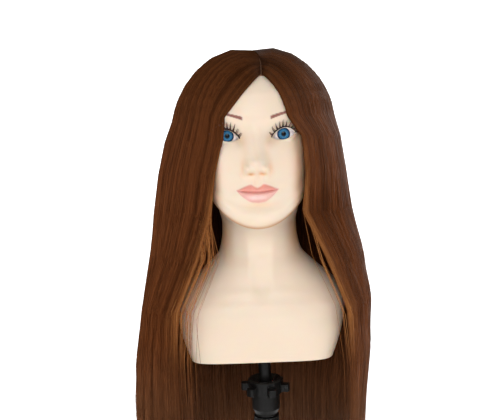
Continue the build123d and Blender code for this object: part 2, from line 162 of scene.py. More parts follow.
def smooth_through(knots, values, at):
    """A curve through the knots that never overshoots them (monotone cubic)."""
    knots, values = np.asarray(knots, float), np.asarray(values, float)
    step = np.diff(knots)
    slope = np.diff(values) / step
    tangent = np.zeros(len(knots))
    same_way = slope[:-1] * slope[1:] > 0
    w1, w2 = 2 * step[1:] + step[:-1], step[1:] + 2 * step[:-1]
    safe = np.where(same_way, slope[:-1] * slope[1:], 1)
    inner = (w1 + w2) * safe / np.where(same_way, w1 * slope[1:] + w2 * slope[:-1], 1)
    tangent[1:-1] = np.where(same_way, inner, 0)
    tangent[0], tangent[-1] = slope[0], slope[-1]
    at = np.clip(at, knots[0], knots[-1])
    i = np.clip(np.searchsorted(knots, at, side="right") - 1, 0, len(knots) - 2)
    t = (at - knots[i]) / step[i]
    h = step[i]
    return (
        values[i] * (1 + 2 * t) * (1 - t) ** 2
        + tangent[i] * h * t * (1 - t) ** 2
        + values[i + 1] * t**2 * (3 - 2 * t)
        + tangent[i + 1] * h * t**2 * (t - 1)
    )


def bump_at(x, z, x0, z0, wide, high):
    """A smooth hill of height 1 at (x0, z0)."""
    return np.exp(-0.5 * (((x - x0) / wide) ** 2 + ((z - z0) / high) ** 2))


def ease(low, high, value):
    """0 below low, 1 above high, and a smooth step between."""
    t = np.clip((value - low) / (high - low), 0, 1)
    return t * t * (3 - 2 * t)


# ---------------------------------------------------------------- material helpers
class Nodes:
    """A new material and short calls for the nodes in it."""

    def __init__(self, name, **sockets):
        self.material = bpy.data.materials.new(name)
        self.material.use_nodes = True
        self.tree = self.material.node_tree
        self.shader = self.tree.nodes["Principled BSDF"]
        for socket, value in sockets.items():
            self.shader.inputs[socket.replace("_", " ")].default_value = value

    def add(self, kind, **settings):
        node = self.tree.nodes.new(kind)
        for key, value in settings.items():
            if key in node.inputs:
                node.inputs[key].default_value = value
            else:
                setattr(node, key, value)
        return node

    def link(self, source, target):
        self.tree.links.new(source, target)

    def attribute(self, name):
        return self.add("ShaderNodeAttribute", attribute_name=name).outputs["Fac"]

    def object_place(self, scale=(1, 1, 1)):
        mapping = self.add("ShaderNodeMapping")
        mapping.inputs["Scale"].default_value = scale
        self.link(self.add("ShaderNodeTexCoord").outputs["Object"], mapping.inputs["Vector"])
        return mapping.outputs["Vector"]

    def noise(self, vector, scale, detail=3.0):
        node = self.add("ShaderNodeTexNoise", Scale=scale, Detail=detail)
        self.link(vector, node.inputs["Vector"])
        return node.outputs["Fac"]

    def ramp(self, factor, *stops):
        """A colour ramp; each stop is a position and a colour or a grey."""
        node = self.add("ShaderNodeValToRGB")
        elements = node.color_ramp.elements
        while len(elements) < len(stops):
            elements.new(0.5)
        for element, (position, colour) in zip(elements, stops):
            element.position = position
            if isinstance(colour, (int, float)):
                colour = (colour, colour, colour)
            element.color = (*colour, 1)
        self.link(factor, node.inputs["Fac"])
        return node.outputs["Color"]

    def mix(self, factor, first, second, blend="MIX"):
        """Mixes two colours; each is a socket or a colour, and factor a socket or a number."""
        node = self.add("ShaderNodeMix", data_type="RGBA", blend_type=blend)
        for name, value in (("Factor", factor), ("A", first), ("B", second)):
            kind = "VALUE" if name == "Factor" else "RGBA"
            socket = next(s for s in node.inputs if s.name == name and s.type == kind)
            if isinstance(value, bpy.types.NodeSocket):
                self.link(value, socket)
            else:
                socket.default_value = value if name == "Factor" else (*value, 1)
        return next(s for s in node.outputs if s.type == "RGBA")

    def math(self, operation, first, second=0.0):
        node = self.add("ShaderNodeMath", operation=operation)
        for socket, value in zip(node.inputs, (first, second)):
            if isinstance(value, bpy.types.NodeSocket):
                self.link(value, socket)
            else:
                socket.default_value = value
        return node.outputs["Value"]

    def colour(self, source):
        self.link(source, self.shader.inputs["Base Color"])

    def roughness(self, source):
        self.link(source, self.shader.inputs["Roughness"])

    def bump(self, height, strength, distance):
        node = self.add("ShaderNodeBump", Strength=strength, Distance=distance)
        self.link(height, node.inputs["Height"])
        self.link(node.outputs["Normal"], self.shader.inputs["Normal"])


def stage_material():
    """Pale paper that glows behind the head, as a backdrop with its own lights does."""
    nodes = Nodes("studio_paper", Roughness=0.9, Emission_Color=(1, 1, 1, 1))
    place = nodes.object_place()
    nodes.colour(nodes.ramp(nodes.noise(place, 3.0), (0.3, 0.93), (0.7, 0.95)))
    parts = nodes.add("ShaderNodeSeparateXYZ")
    nodes.link(place, parts.inputs["Vector"])
    glow = nodes.add("ShaderNodeMapRange")
    for socket, value in (("From Min", -1.2), ("From Max", 1.0), ("To Min", 0.0), ("To Max", 0.85)):
        glow.inputs[socket].default_value = value
    nodes.link(parts.outputs["Y"], glow.inputs["Value"])
    nodes.link(glow.outputs["Result"], nodes.shader.inputs["Emission Strength"])
    return nodes.material


# ---------------------------------------------------------------- skin: form of head, neck and bust
SKIN_COLUMNS = 256
SKIN_ROWS = 340
FRONT_CROWDING = 0.6

# One ring a row, from the rim under the bust to the crown: row, front (y, z), side (x, y, z),
# back (y, z), and the squareness of the ring, where 2 is an ellipse.
SKIN_RINGS = [
    (0, -54, 197, 82, 0, 197, 54, 197, 5.6),
    (4, -56, 190, 84.5, 0, 190, 56, 190, 5.6),
    (8, -58.8, 190.4, 87.5, 0, 190.4, 58.8, 190.4, 5.6),
    (11, -60, 193.5, 89, 0, 193.5, 60, 193.5, 5.4),
    (24, -61.5, 222, 99.5, 0, 222, 62, 222, 4.2),
    (33, -62, 243, 104.5, 0, 243, 62, 243, 2.9),
    (39, -60, 256, 105, 1, 256, 60, 260, 2.8),
    (44, -56, 266, 102, 2, 266, 56, 270, 2.7),
    (52, -50, 281, 90, 4, 282, 51, 286, 2.5),
    (62, -44, 301, 66, 5, 303, 47, 308, 2.3),
    (70, -40, 318, 51.5, 6, 320, 45, 324, 2.1),
    (78, -41, 340, 47, 6, 342, 44, 345, 2.0),
    (84, -44, 349, 46.5, 3, 356, 44, 358, 2.0),
    (92, -56, 352.5, 49, -4, 370, 45, 374, 2.0),
    (100, -71, 353, 52, -12, 381, 46, 390, 2.0),
    (105, -79, 354, 56.5, -15, 386, 48, 397, 2.0),
    (109, -84, 357, 58.5, -15, 391, 51, 402, 2.0),
    (118, -89.5, 364, 61, -14, 398, 56, 410, 2.0),
    (128, -92, 372, 62.5, -12, 406, 61, 418, 2.05),
    (140, -90.5, 382, 63, -10, 414, 66, 425, 2.1),
    (160, -92.5, 398, 65.5, -8, 426, 74, 437, 2.15),
    (182, -93.5, 416, 67.5, -6, 440, 81, 449, 2.2),
    (210, -92, 439, 69.5, -4, 456, 86, 462, 2.3),
    (242, -92, 462, 71, -3, 471, 89, 474, 2.3),
    (265, -94.5, 481, 72, -2, 486, 90, 488, 2.2),
    (285, -90, 505, 68, -2, 507, 85, 508, 2.1),
    (303, -74, 527, 56, -2, 528, 70, 528, 2.0),
    (318, -54, 545, 40.8, -2, 545, 50, 545, 2.0),
    (330, -30, 557, 22, -2, 557, 26, 557, 2.0),
    (340, -2, 561, 0, -2, 561, -2, 561, 2.0),
]

BUST_SHIFT = 2.6  # how far the bust sits to the head's right of its middle
JAW_ROW = 104.5  # the row along the jaw's lower edge

# Eyes
EYE_X, EYE_Y, EYE_Z = 31.7, -68.0, 461.0
EYE_R = 15.5
LID_R = 16.7
INNER_CORNER = (17.8, 457.0)
OUTER_CORNER = (45.7, 461.7)
UPPER_LID_RISE = 8.8
LOWER_LID_DROP = 4.9

# Nose: height over the face, and half width of its ridge, by level
NOSE_LEVELS = [411, 415, 417.5, 420, 423, 427, 431, 437, 445, 455, 465, 474]
NOSE_HEIGHTS = [0, 2.0, 5.2, 9.8, 14.6, 17.8, 18.8, 15.2, 10.6, 6.2, 2.4, 0]
NOSE_WIDTHS = [8, 8, 8, 8.2, 8.6, 8.8, 8.6, 8.0, 7.4, 7.0, 6.8, 6.6]

# Swells and hollows of the face: height, distance to each side, level, and the spread of each
FACE_SWELLS = [
    (-4.6, 30, 462, 13, 9),  # the eye's hollow
    (-5.0, 18.5, 457.5, 4.2, 5.0),  # the eye's inner corner
    (1.4, 29, 481, 14, 5),  # brow
    (2.6, 40, 433, 13, 14),  # cheekbone
    (-1.2, 30, 408, 9, 12),  # hollow under it
    (9.0, 11.3, 423.2, 2.9, 4.4),  # wing of the nose
    (-4.5, 6.2, 418.6, 2.4, 1.5),  # nostril
    (-2.0, 16.4, 422, 1.8, 5.0),  # groove beside the wing
    (-1.1, 0, 409.5, 2.4, 4.5),  # groove over the upper lip
    (0.7, 5.2, 409, 1.8, 4.5),  # the ridge on each side of it
    (3.2, 0, 398, 17, 14),  # rise under the lips
    (-1.0, 25.5, 399, 2.6, 3.0),  # corner of the mouth
    (-1.8, 0, 381.5, 11, 3.4),  # fold under the lower lip
    (3.0, 0, 369, 12, 8),  # chin
]

# Mouth
MOUTH_HALF = 24.0
MOUTH_LINE_Z = 397.0

# Brows
BROW_SHIFT = 1.8
BROW_FROM, BROW_TO = 15.5, 45.0

# Painted shade in the face's hollows, where shadow falls: depth of colour, distance to each side, level,
# and its spread
PAINTED_HOLLOW_SHADE = [
    (0.42, 15.8, 424, 1.9, 5.5),  # beside the wings of the nose
    (0.16, 12.5, 443, 2.6, 12),  # beside its ridge
    (0.75, 6.4, 417.6, 3.2, 1.3),  # nostrils
    (0.28, 0, 382.5, 11, 2.0),  # under the lower lip
    (0.22, 17.5, 456, 4, 5),  # inner corners of the eyes
]


def eye_corner_line(x):
    """Level of the line from the inner to the outer corner, and the share of the way along it."""
    share = (np.abs(x) - INNER_CORNER[0]) / (OUTER_CORNER[0] - INNER_CORNER[0])
    return INNER_CORNER[1] + share * (OUTER_CORNER[1] - INNER_CORNER[1]), share


def lid_levels(x):
    """Levels of the lower and the upper lid's edge at x."""
    line, share = eye_corner_line(x)
    arch = np.clip(4 * share * (1 - share), 0, 1)
    return line - LOWER_LID_DROP * arch**0.85, line + UPPER_LID_RISE * arch**0.75


def mouth_lines(x):
    """Levels of the mouth's line, the upper lip's top and the lower lip's bottom at x."""
    share = np.clip(np.abs(x) / MOUTH_HALF, 0, 1)
    line = MOUTH_LINE_Z + 2.6 * share**1.6
    top = smooth_through([0, 0.13, 0.3, 0.6, 0.85, 1.0], [402.4, 403.6, 406.0, 403.8, 400.9, 399.6], share)
    bottom = smooth_through([0, 0.3, 0.6, 0.85, 1.0], [385.2, 386.2, 390.2, 395.6, 399.6], share)
    return line, top, bottom


def ring_points(theta, row):
    """Points of the plain form, without a face, at an azimuth from the front and a row."""
    table = np.array(SKIN_RINGS, float)
    fy, fz, sx, sy, sz, by, bz, square = (
        smooth_through(table[:, 0], table[:, column], row) for column in range(1, 9)
    )
    s, c = np.sin(theta), np.cos(theta)
    reach = (np.abs(s) ** square + np.abs(c) ** square) ** (-1 / square)
    ends_y, ends_z = np.where(c > 0, fy, by), np.where(c > 0, fz, bz)
    x = sx * s * reach - BUST_SHIFT * ease(-60, -10, -row)
    y = sy + (ends_y - sy) * np.abs(c) * reach
    z = sz * s * s + ends_z * c * c
    return x, y, z


def face_relief(x, z):
    """How far the face stands out of the plain form, towards the front, at (x, z)."""
    side = np.abs(x)
    relief = sum(height * bump_at(side, z, *spot) for height, *spot in FACE_SWELLS)
    # The nose's ridge
    height = smooth_through(NOSE_LEVELS, NOSE_HEIGHTS, z)
    width = smooth_through(NOSE_LEVELS, NOSE_WIDTHS, z)
    relief += height * np.exp(-0.62 * (side / width) ** 2.3)
    # The lips, and the line between them
    line, top, bottom = mouth_lines(x)
    fade = np.clip(1 - (side / (MOUTH_HALF + 0.8)) ** 2, 0, 1) ** 0.55
    upper = np.clip((z - line) / np.maximum(top - line, 0.4), 0, 1)
    lower = np.clip((line - z) / np.maximum(line - bottom, 0.4), 0, 1)
    relief += 3.6 * fade * np.sin(pi * upper**0.62) ** 0.9 * (upper > 0)
    relief += 4.6 * fade * np.sin(pi * lower**0.72) ** 0.9 * (lower > 0)
    parted = np.exp(-(((z - line) / 0.9) ** 2)) * (side < MOUTH_HALF + 2)
    return relief - 1.6 * parted * np.clip(fade, 0.35, 1)


def neck_relief(x, z):
    """Two faint cords down the neck, and the hollow between the collar bones."""
    cords = 1.3 * bump_at(np.abs(x), z, 13 + (z - 282) * 0.05, 312, 4.0, 20)
    return cords - 1.8 * bump_at(x, z, 0, 279, 7, 6) + 0.9 * bump_at(np.abs(x), z, 24, 275, 14, 4)


def over_eyeball(x, y, z):
    """Brings the skin out over the eyeballs, as lids."""
    away = (np.abs(x) - EYE_X) ** 2 + (z - EYE_Z) ** 2
    lid = EYE_Y - np.sqrt(np.clip(LID_R**2 - away, 0, None))
    soft = 1.6
    blend = np.clip(0.5 + 0.5 * (y - lid) / soft, 0, 1)
    return np.where(away < LID_R**2, y * (1 - blend) + lid * blend - soft * blend * (1 - blend), y)


def lid_crease(x, z):
    """The fold above the upper lid."""
    _, upper = lid_levels(x)
    _, share = eye_corner_line(x)
    along = ease(-0.15, 0.2, share) * ease(-1.12, -0.85, -share)
    return 0.9 * along * np.exp(-(((z - upper - 4.6) / 0.9) ** 2))


def skin_points(theta, row):
    x, y, z = ring_points(theta, row)
    facing = ease(0.05, 0.35, np.cos(theta)) * ease(100, 112, row) * ease(-300, -280, -row)
    y = y - facing * face_relief(x, z)
    front = ease(0.3, 0.6, np.cos(theta))
    y = y - front * neck_relief(x, z)
    on_face = (np.cos(theta) > 0) & (row > 190) & (row < 290)
    y = np.where(on_face, over_eyeball(x, y, z) + lid_crease(x, z), y)
    return np.stack([x, y, z], axis=1)


def cut_eye_openings(bm):
    """Opens the lids along an almond outline and turns their edges in to the eyeballs."""
    gone = []
    for face in bm.faces:
        middle = face.calc_center_median()
        if middle.y > -0.06 or not INNER_CORNER[0] < abs(middle.x) / MM < OUTER_CORNER[0]:
            continue
        lower, upper = lid_levels(middle.x / MM)
        if lower < middle.z / MM < upper:
            gone.append(face)
    bmesh.ops.delete(bm, geom=gone, context="FACES")
    outline_x = np.linspace(INNER_CORNER[0], OUTER_CORNER[0], 160)
    lower, upper = lid_levels(outline_x)
    outline = np.concatenate([np.stack([outline_x, lower], 1), np.stack([outline_x, upper], 1)])
    rim = [e for e in bm.edges if e.is_boundary and e.verts[0].co.z > 0.44]
    for vert in {v for e in rim for v in e.verts}:
        here = np.array([abs(vert.co.x), vert.co.z]) / MM
        near = outline[np.argmin(((outline - here) ** 2).sum(axis=1))]
        vert.co.x = near[0] * MM * (1 if vert.co.x > 0 else -1)
        vert.co.z = near[1] * MM
    for depth in (0.5, 2.4):
        made = bmesh.ops.extrude_edge_only(bm, edges=rim)["geom"]
        rim = [e for e in made if isinstance(e, bmesh.types.BMEdge)]
        for vert in (v for v in made if isinstance(v, bmesh.types.BMVert)):
            centre = Vector((EYE_X * (1 if vert.co.x > 0 else -1), EYE_Y, EYE_Z)) * MM
            vert.co += (centre - vert.co).normalized() * depth * MM


def brow_mask(x, z):
    """Painted strokes that rise outwards and thin to a point."""
    side = np.abs(x - BROW_SHIFT)
    share = (side - BROW_FROM) / (BROW_TO - BROW_FROM)
    centre = 479.4 + 9.0 * np.clip(share, 0, 1) ** 0.9
    half = 1.65 * np.clip(1 - 0.55 * np.clip(share, 0, 1), 0.3, 1)
    across = ease(-0.7, 0.1, half - np.abs(z - centre))
    return across * ease(-0.03, 0.05, share) * ease(-1.0, -0.85, -share)


def lip_masks(x, z):
    """Colour of the lips, and how deep into the line between them a point is."""
    line, top, bottom = mouth_lines(x)
    inside = np.minimum(top - z, z - bottom)
    ends = ease(-1.0, 0.8, MOUTH_HALF - np.abs(x))
    lips = ease(-1.5, 1.3, inside) * ends
    seam = np.exp(-(((z - line) / 1.0) ** 2)) * ends
    upper = ease(-0.4, 0.8, z - line) * lips
    return lips, seam, upper


def skin_material():
    nodes = Nodes(
        "painted_vinyl", Roughness=0.42, Subsurface_Weight=0.4, Subsurface_Scale=0.0035, Coat_Weight=0.06,
        Coat_Roughness=0.3, IOR=1.45,
    )
    nodes.shader.inputs["Subsurface Radius"].default_value = (1.0, 0.38, 0.18)
    place = nodes.object_place()
    mottle = nodes.noise(place, 14.0, 4.0)
    base = nodes.ramp(mottle, (0.25, (0.876, 0.718, 0.562)), (0.75, (0.896, 0.742, 0.590)))
    # Painted warm shade: in the face's hollows, down the neck's sides and along the face's edges
    shade_painted = nodes.mix(nodes.attribute("painted_warm_shade_and_glow"), base, (0.88, 0.47, 0.22))
    # Deeper painted shade along the jaw's lower edge
    shade_painted = nodes.mix(nodes.attribute("painted_jaw_shade"), shade_painted, (0.62, 0.30, 0.12))
    warm = nodes.mix(nodes.math("MULTIPLY", nodes.attribute("blush"), 0.5), shade_painted, (0.88, 0.52, 0.40))
    # A painted highlight, paler, on the middle of the lower lip
    lower_lip = nodes.mix(nodes.attribute("painted_lip_highlight"), (0.88, 0.46, 0.40), (0.97, 0.68, 0.63))
    lips = nodes.mix(nodes.attribute("upper_lip"), lower_lip, (0.89, 0.38, 0.31))
    seam = nodes.mix(nodes.math("MULTIPLY", nodes.attribute("lip_seam"), 0.5), lips, (0.70, 0.18, 0.14))
    grain = nodes.noise(nodes.object_place((1, 1, 3)), 420.0, 2.0)
    lip_colour = nodes.mix(0.12, seam, nodes.ramp(grain, (0.3, 0.5), (0.7, 1.0)), "MULTIPLY")
    painted = nodes.mix(nodes.attribute("lips"), warm, lip_colour)
    hairs = nodes.noise(nodes.object_place((3, 1, 1)), 900.0)
    brow_colour = nodes.ramp(hairs, (0.3, (0.25, 0.080, 0.062)), (0.7, (0.34, 0.125, 0.10)))
    nodes.colour(nodes.mix(nodes.attribute("brow"), painted, brow_colour))
    dull = nodes.ramp(nodes.noise(place, 60.0, 3.0), (0.3, 0.40), (0.7, 0.48))
    gloss = nodes.math("MULTIPLY", nodes.attribute("lips"), -0.30)
    nodes.roughness(nodes.math("ADD", dull, gloss))
    pores = nodes.noise(place, 1400.0, 2.0)
    nodes.bump(pores, 0.06, 0.0004)
    return nodes.material


FOAM_GAP = 9.0
EYE_ROOM = 22.0


def make_skin():
    """The one skin of bust, neck and face, painted; returns a search tree of its surface."""
    bm = bmesh.new()
    bmesh.ops.create_uvsphere(bm, u_segments=SKIN_COLUMNS, v_segments=SKIN_ROWS, radius=1)
    lowest = min(v.co.z for v in bm.verts)
    bmesh.ops.delete(bm, geom=[v for v in bm.verts if v.co.z <= lowest], context="VERTS")
    mesh = bpy.data.meshes.new("ball")
    bm.to_mesh(mesh)
    bm.free()
    ball = coordinates(mesh)
    share = 1 - np.arccos(np.clip(ball[:, 2], -1, 1)) / pi
    row = (share * SKIN_ROWS - 1) * SKIN_ROWS / (SKIN_ROWS - 1)
    azimuth = np.arctan2(ball[:, 0], -ball[:, 1])
    theta = azimuth - FRONT_CROWDING * np.sin(azimuth)
    set_coordinates(mesh, skin_points(theta, row) * MM)
    # Painted shade along the jaw's lower edge, where the chin turns under
    jaw_shade_band = np.exp(-(((row - JAW_ROW) / 4.5) ** 2))
    set_attribute(mesh, "painted_jaw_shade", jaw_shade_band * ease(-0.2, 0.3, np.cos(theta)))
    bm = bmesh.new()
    bm.from_mesh(mesh)
    cut_eye_openings(bm)
    bmesh.ops.recalc_face_normals(bm, faces=bm.faces)
    skin = new_object("vinyl_skin", bm)
    points = coordinates(skin.data) / MM
    x, y, z = points.T
    front = ease(40, 60, -y)
    lips, seam, upper = lip_masks(x, z)
    set_attribute(skin.data, "lips", lips * front)
    set_attribute(skin.data, "lip_seam", seam * front)
    set_attribute(skin.data, "upper_lip", upper * front)
    set_attribute(skin.data, "brow", brow_mask(x, z) * front)
    side = np.abs(x)
    # Painted warm shade down the neck's sides and along the face's edges where they turn away from the
    # light, starting 2 mm further in on the head's left
    neck_side_shade = ease(28, 48, side) * ease(298, 342, z) * ease(-372, -350, -z)
    face_edge_shade = ease(37 - 2 * (x > 0), 56, side) * ease(350, 372, z)
    # Painted shade beside the nose, in the nostrils, under the lower lip and at the eyes' inner corners
    hollow_shade_paint = sum(amount * bump_at(side, z, *spot) for amount, *spot in PAINTED_HOLLOW_SHADE)
    # All the skin's painted warm shade, gathered into one attribute
    painted_warm_shade_and_glow = 0.9 * neck_side_shade + 0.75 * face_edge_shade + hollow_shade_paint * (y < -60)
    set_attribute(skin.data, "painted_warm_shade_and_glow", np.clip(painted_warm_shade_and_glow, 0, 1))
    # Painted highlight on the middle of the lower lip
    set_attribute(skin.data, "painted_lip_highlight", bump_at(side, z, 3.5, 391.4, 6.5, 2.0) * (y < -60))
    set_attribute(skin.data, "blush", 0.35 * bump_at(side, z, 44, 428, 12, 14) * front)
    skin.data.materials.append(skin_material())
    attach(skin, "head")
    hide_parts("head_shell")
    places = [v.co for v in skin.data.vertices]
    return BVHTree.FromPolygons(places, [p.vertices for p in skin.data.polygons])


def make_foam():
    """The foam core as it lies inside the skin, a wall's thickness in from it."""
    bm = bmesh.new()
    bmesh.ops.create_uvsphere(bm, u_segments=48, v_segments=64, radius=1)
    foam = new_object("foam_filling", bm)
    ball = coordinates(foam.data)
    row = (1 - np.arccos(np.clip(ball[:, 2], -1, 1)) / pi) * (SKIN_ROWS - 14) + 8
    x, y, z = ring_points(np.arctan2(ball[:, 0], -ball[:, 1]), row)
    gap = FOAM_GAP + EYE_ROOM * bump_at(np.abs(x), z, 26, 460, 16, 14) * (y < 0)
    inward = 1 - gap / np.maximum(np.hypot(x, y), 3 * FOAM_GAP)
    points = np.stack([x * inward, y * inward, np.minimum(z, 552) + (z < 200) * 4], axis=1)
    set_coordinates(foam.data, points * MM)
    foam.data.materials.append(foam_material())
    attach(foam, "head")
    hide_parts("foam_core")


# ---------------------------------------------------------------- tapered strands
def triangle_profile():
    """A three-sided outline of radius 1 mm that the strands are drawn with."""
    curve = bpy.data.curves.new("strand_profile", "CURVE")
    spline = curve.splines.new("POLY")
    spline.points.add(2)
    for point, turn in zip(spline.points, (0, 1, 2)):
        angle = 2 * pi * turn / 3
        point.co = (cos(angle) * MM, sin(angle) * MM, 0, 1)
    spline.use_cyclic_u = True
    profile = bpy.data.objects.new("strand_profile", curve)
    bpy.context.collection.objects.link(profile)
    return profile


def strand_mesh(name, points, radii, attributes):
    """A mesh of tapered three-sided strands.

    points is (strands, places, 3) and radii (strands, places), both in millimetres; each
    attribute has one value for each strand and place."""
    curve = bpy.data.curves.new(name, "CURVE")
    curve.dimensions = "3D"
    curve.bevel_mode = "OBJECT"
    curve.bevel_object = PROFILE
    count, places, _ = points.shape
    placed = np.concatenate([points * MM, np.ones((count, places, 1))], axis=2).astype(np.float32)
    for route, radius in zip(placed, radii.astype(np.float32)):
        spline = curve.splines.new("POLY")
        spline.points.add(places - 1)
        spline.points.foreach_set("co", route.ravel())
        spline.points.foreach_set("radius", radius)
    source = bpy.data.objects.new(name + "_curve", curve)
    bpy.context.collection.objects.link(source)
    drawn = source.evaluated_get(bpy.context.evaluated_depsgraph_get())
    mesh = bpy.data.meshes.new_from_object(drawn)
    bpy.data.objects.remove(source)
    bpy.data.curves.remove(curve)
    bm = bmesh.new()
    bm.from_mesh(mesh)
    bmesh.ops.holes_fill(bm, edges=[e for e in bm.edges if e.is_boundary], sides=3)
    bpy.data.meshes.remove(mesh)
    made = new_object(name, bm)
    sides = len(made.data.vertices) // (count * places)
    for key, values in attributes.items():
        set_attribute(made.data, key, np.repeat(np.asarray(values).ravel(), sides))
    return made


# ---------------------------------------------------------------- eyes and lashes
IRIS_R = 7.4
CORNEA_RISE = 0.9
LASH_CLUSTERS = 10
LASHES_IN_CLUSTER = 3
LASH_PLACES = 6
LASH_FAN = radians(125)
LASH_R = 0.56
LASH_LINE_R = 1.0


def eye_material():
    nodes = Nodes(
        "painted_eye", Roughness=0.06, Specular_IOR_Level=0.1, Coat_Weight=0.15,
        Coat_Roughness=0.02, IOR=1.45,
    )
    out = nodes.attribute("from_axis")
    around = nodes.attribute("around")
    rays = nodes.add("ShaderNodeTexNoise", noise_dimensions="2D", Scale=1.0, Detail=3.0)
    place = nodes.add("ShaderNodeCombineXYZ")
    nodes.link(nodes.math("MULTIPLY", around, 60.0), place.inputs["X"])
    nodes.link(nodes.math("MULTIPLY", out, 2.5), place.inputs["Y"])
    nodes.link(place.outputs["Vector"], rays.inputs["Vector"])
    iris = nodes.ramp(
        out, (0.27, (0.001, 0.001, 0.002)), (0.33, (0.006, 0.025, 0.05)), (0.46, (0.05, 0.20, 0.36)),
        (0.70, (0.028, 0.13, 0.27)), (0.84, (0.010, 0.045, 0.11)), (0.95, (0.003, 0.010, 0.025)),
    )
    streaks = nodes.ramp(rays.outputs["Fac"], (0.35, 0.45), (0.65, 1.5))
    painted = nodes.mix(0.8, iris, streaks, "MULTIPLY")
    white = nodes.ramp(out, (0.97, (0.10, 0.11, 0.14)), (1.0, (0.93, 0.86, 0.86)))
    veins = nodes.noise(nodes.object_place(), 260.0, 4.0)
    sclera = nodes.mix(0.35, white, nodes.ramp(veins, (0.42, (0.85, 0.62, 0.60)), (0.55, 1.0)), "MULTIPLY")
    limit = nodes.math("GREATER_THAN", out, 0.985)
    nodes.colour(nodes.mix(limit, painted, sclera))
    return nodes.material


def make_eye(name, side, material):
    """An eyeball with a raised cornea; its attributes place the painted iris and its rays."""
    bm = bmesh.new()
    bmesh.ops.create_uvsphere(bm, u_segments=72, v_segments=64, radius=EYE_R * MM)
    bmesh.ops.rotate(bm, verts=bm.verts, cent=(0, 0, 0), matrix=Matrix.Rotation(pi / 2, 3, "X"))
    for vert in bm.verts:
        off_axis = Vector((vert.co.x, 0, vert.co.z)).length / MM
        if vert.co.y < 0:
            vert.co.y -= CORNEA_RISE * MM * max(0.0, 1 - (off_axis / (IRIS_R + 1)) ** 2) ** 1.5
    eye = new_object(name, bm)
    points = coordinates(eye.data) / MM
    distance = np.hypot(points[:, 0], points[:, 2]) / IRIS_R
    set_attribute(eye.data, "from_axis", np.where(points[:, 1] < 0, distance, 2.0))
    set_attribute(eye.data, "around", np.arctan2(points[:, 2], points[:, 0]) / (2 * pi) + 0.5)
    set_coordinates(eye.data, (points + (side * EYE_X, EYE_Y, EYE_Z)) * MM)
    eye.data.materials.append(material)
    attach(eye, "head")
    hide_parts(f"{SIDE_OF[side]}_eye")


def lash_material():
    nodes = Nodes("lash_fibre", Roughness=0.5)
    along = nodes.attribute("along")
    nodes.colour(nodes.ramp(along, (0.0, (0.035, 0.010, 0.006)), (1.0, (0.13, 0.036, 0.018))))
    return nodes.material


def lid_edge_points(side, share, skin_tree):
    """Points on the upper lid's edge, by their share of the way to the outer corner."""
    points = []
    for x in INNER_CORNER[0] + np.atleast_1d(share) * (OUTER_CORNER[0] - INNER_CORNER[0]):
        z = lid_levels(x)[1] + 0.7
        hit = skin_tree.ray_cast(Vector((side * x, -200, z)) * MM, Vector((0, 1, 0)))[0]
        points.append((side * x, hit.y / MM - 0.3, z))
    return np.array(points)


def make_lashes(name, side, material, rng, skin_tree):
    """Upper lashes in pointed clusters on a dark line along the lid's edge."""
    shares = np.linspace(0.06, 1.0, LASH_CLUSTERS)
    roots, tips, bows = [], [], []
    for share in shares:
        fan = LASH_FAN * (share - 0.45)
        length = 6.8 + 3.0 * sin(pi * min(share, 0.75)) + rng.uniform(-1.5, 1.5)
        heading = np.array([side * sin(fan), -0.8, cos(fan) * 0.95 + 0.1])
        tip = lid_edge_points(side, share, skin_tree)[0] + heading / np.linalg.norm(heading) * length
        for spread in np.linspace(-0.5, 0.5, LASHES_IN_CLUSTER):
            start = np.clip(share + spread * 0.055, 0.0, 1.0)
            roots.append(lid_edge_points(side, start, skin_tree)[0])
            tips.append(tip + rng.uniform(-0.5, 0.5, 3) + (side * spread * 0.9, 0, abs(spread) * -0.8))
            bows.append(rng.uniform(0.8, 1.4))
    roots, tips, bows = np.array(roots), np.array(tips), np.array(bows)
    t = np.linspace(0, 1, LASH_PLACES)
    route = roots[:, None] + (tips - roots)[:, None] * t[None, :, None]
    sag = np.sin(pi * t)[None] * bows[:, None]
    route[:, :, 1] -= sag * 0.7
    route[:, :, 2] -= sag
    radii = LASH_R * (1 - 0.8 * t)[None] * np.ones((len(roots), 1))
    along = np.ones((len(roots), 1)) * t
    edge = lid_edge_points(side, np.linspace(0, 1, 24), skin_tree)[None]
    lashes = strand_mesh(name, route, radii, {"along": along})
    line = strand_mesh(name + "_line", edge, np.full((1, 24), LASH_LINE_R), {"along": np.zeros((1, 24))})
    join_into(lashes, line)
    lashes.data.materials.append(material)
    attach(lashes, "head")
    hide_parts(f"{SIDE_OF[side]}_lashes")


def join_into(target, other):
    """Adds another object's mesh to the target's and removes the other."""
    bm = bmesh.new()
    bm.from_mesh(target.data)
    bm.from_mesh(other.data)
    bm.to_mesh(target.data)
    bm.free()
    bpy.data.objects.remove(other)


# ---------------------------------------------------------------- hair
SKULL = np.array([0.0, -2.0, 470.0])
SKULL_AXES = np.array([72.0, 92.0, 91.0])
FALL_TOP = 482.0
FALL_CENTRE_Y = 5.0
BACK_DEPTH = 97.0
CROWN_HEIGHT = 102.0
CROWN_DEPTH = 99.0
LAYER_T = 20.0
CROWN_WIDTH = {1: 102.0, -1: 97.5}
CROWN_PLACES = 7
FALL_PLACES = 8
PARTING_HALF = 0.6
ROOTS_FRONT_Y = -72.0
ROOTS_LENGTH = 125.0
HAIRLINE_BOW = {1: (6.0, 3.0), -1: (4.5, -1.0)}  # how far the hairline bows inwards and up
FRONT_LIMIT_Y = -94.0

# Strands: their number in each zone, radius in millimetres, and the levels of their tips
HAIR_ZONES = (("front", 0.0, 0.24), ("side", 0.2, 0.52), ("rear", 0.48, 1.0))
STRANDS_IN_ZONE = 2280
STRAND_R = (0.26, 0.42)
TIP_Z = 48.0
TIP_LONGER = 26.0
TIP_SHORTER = 22.0
REAR_LIFT = 20.0
UNDER_TIP_Z = 46.0
STRAY_SHARE = {1: 0.008, -1: 0.06}

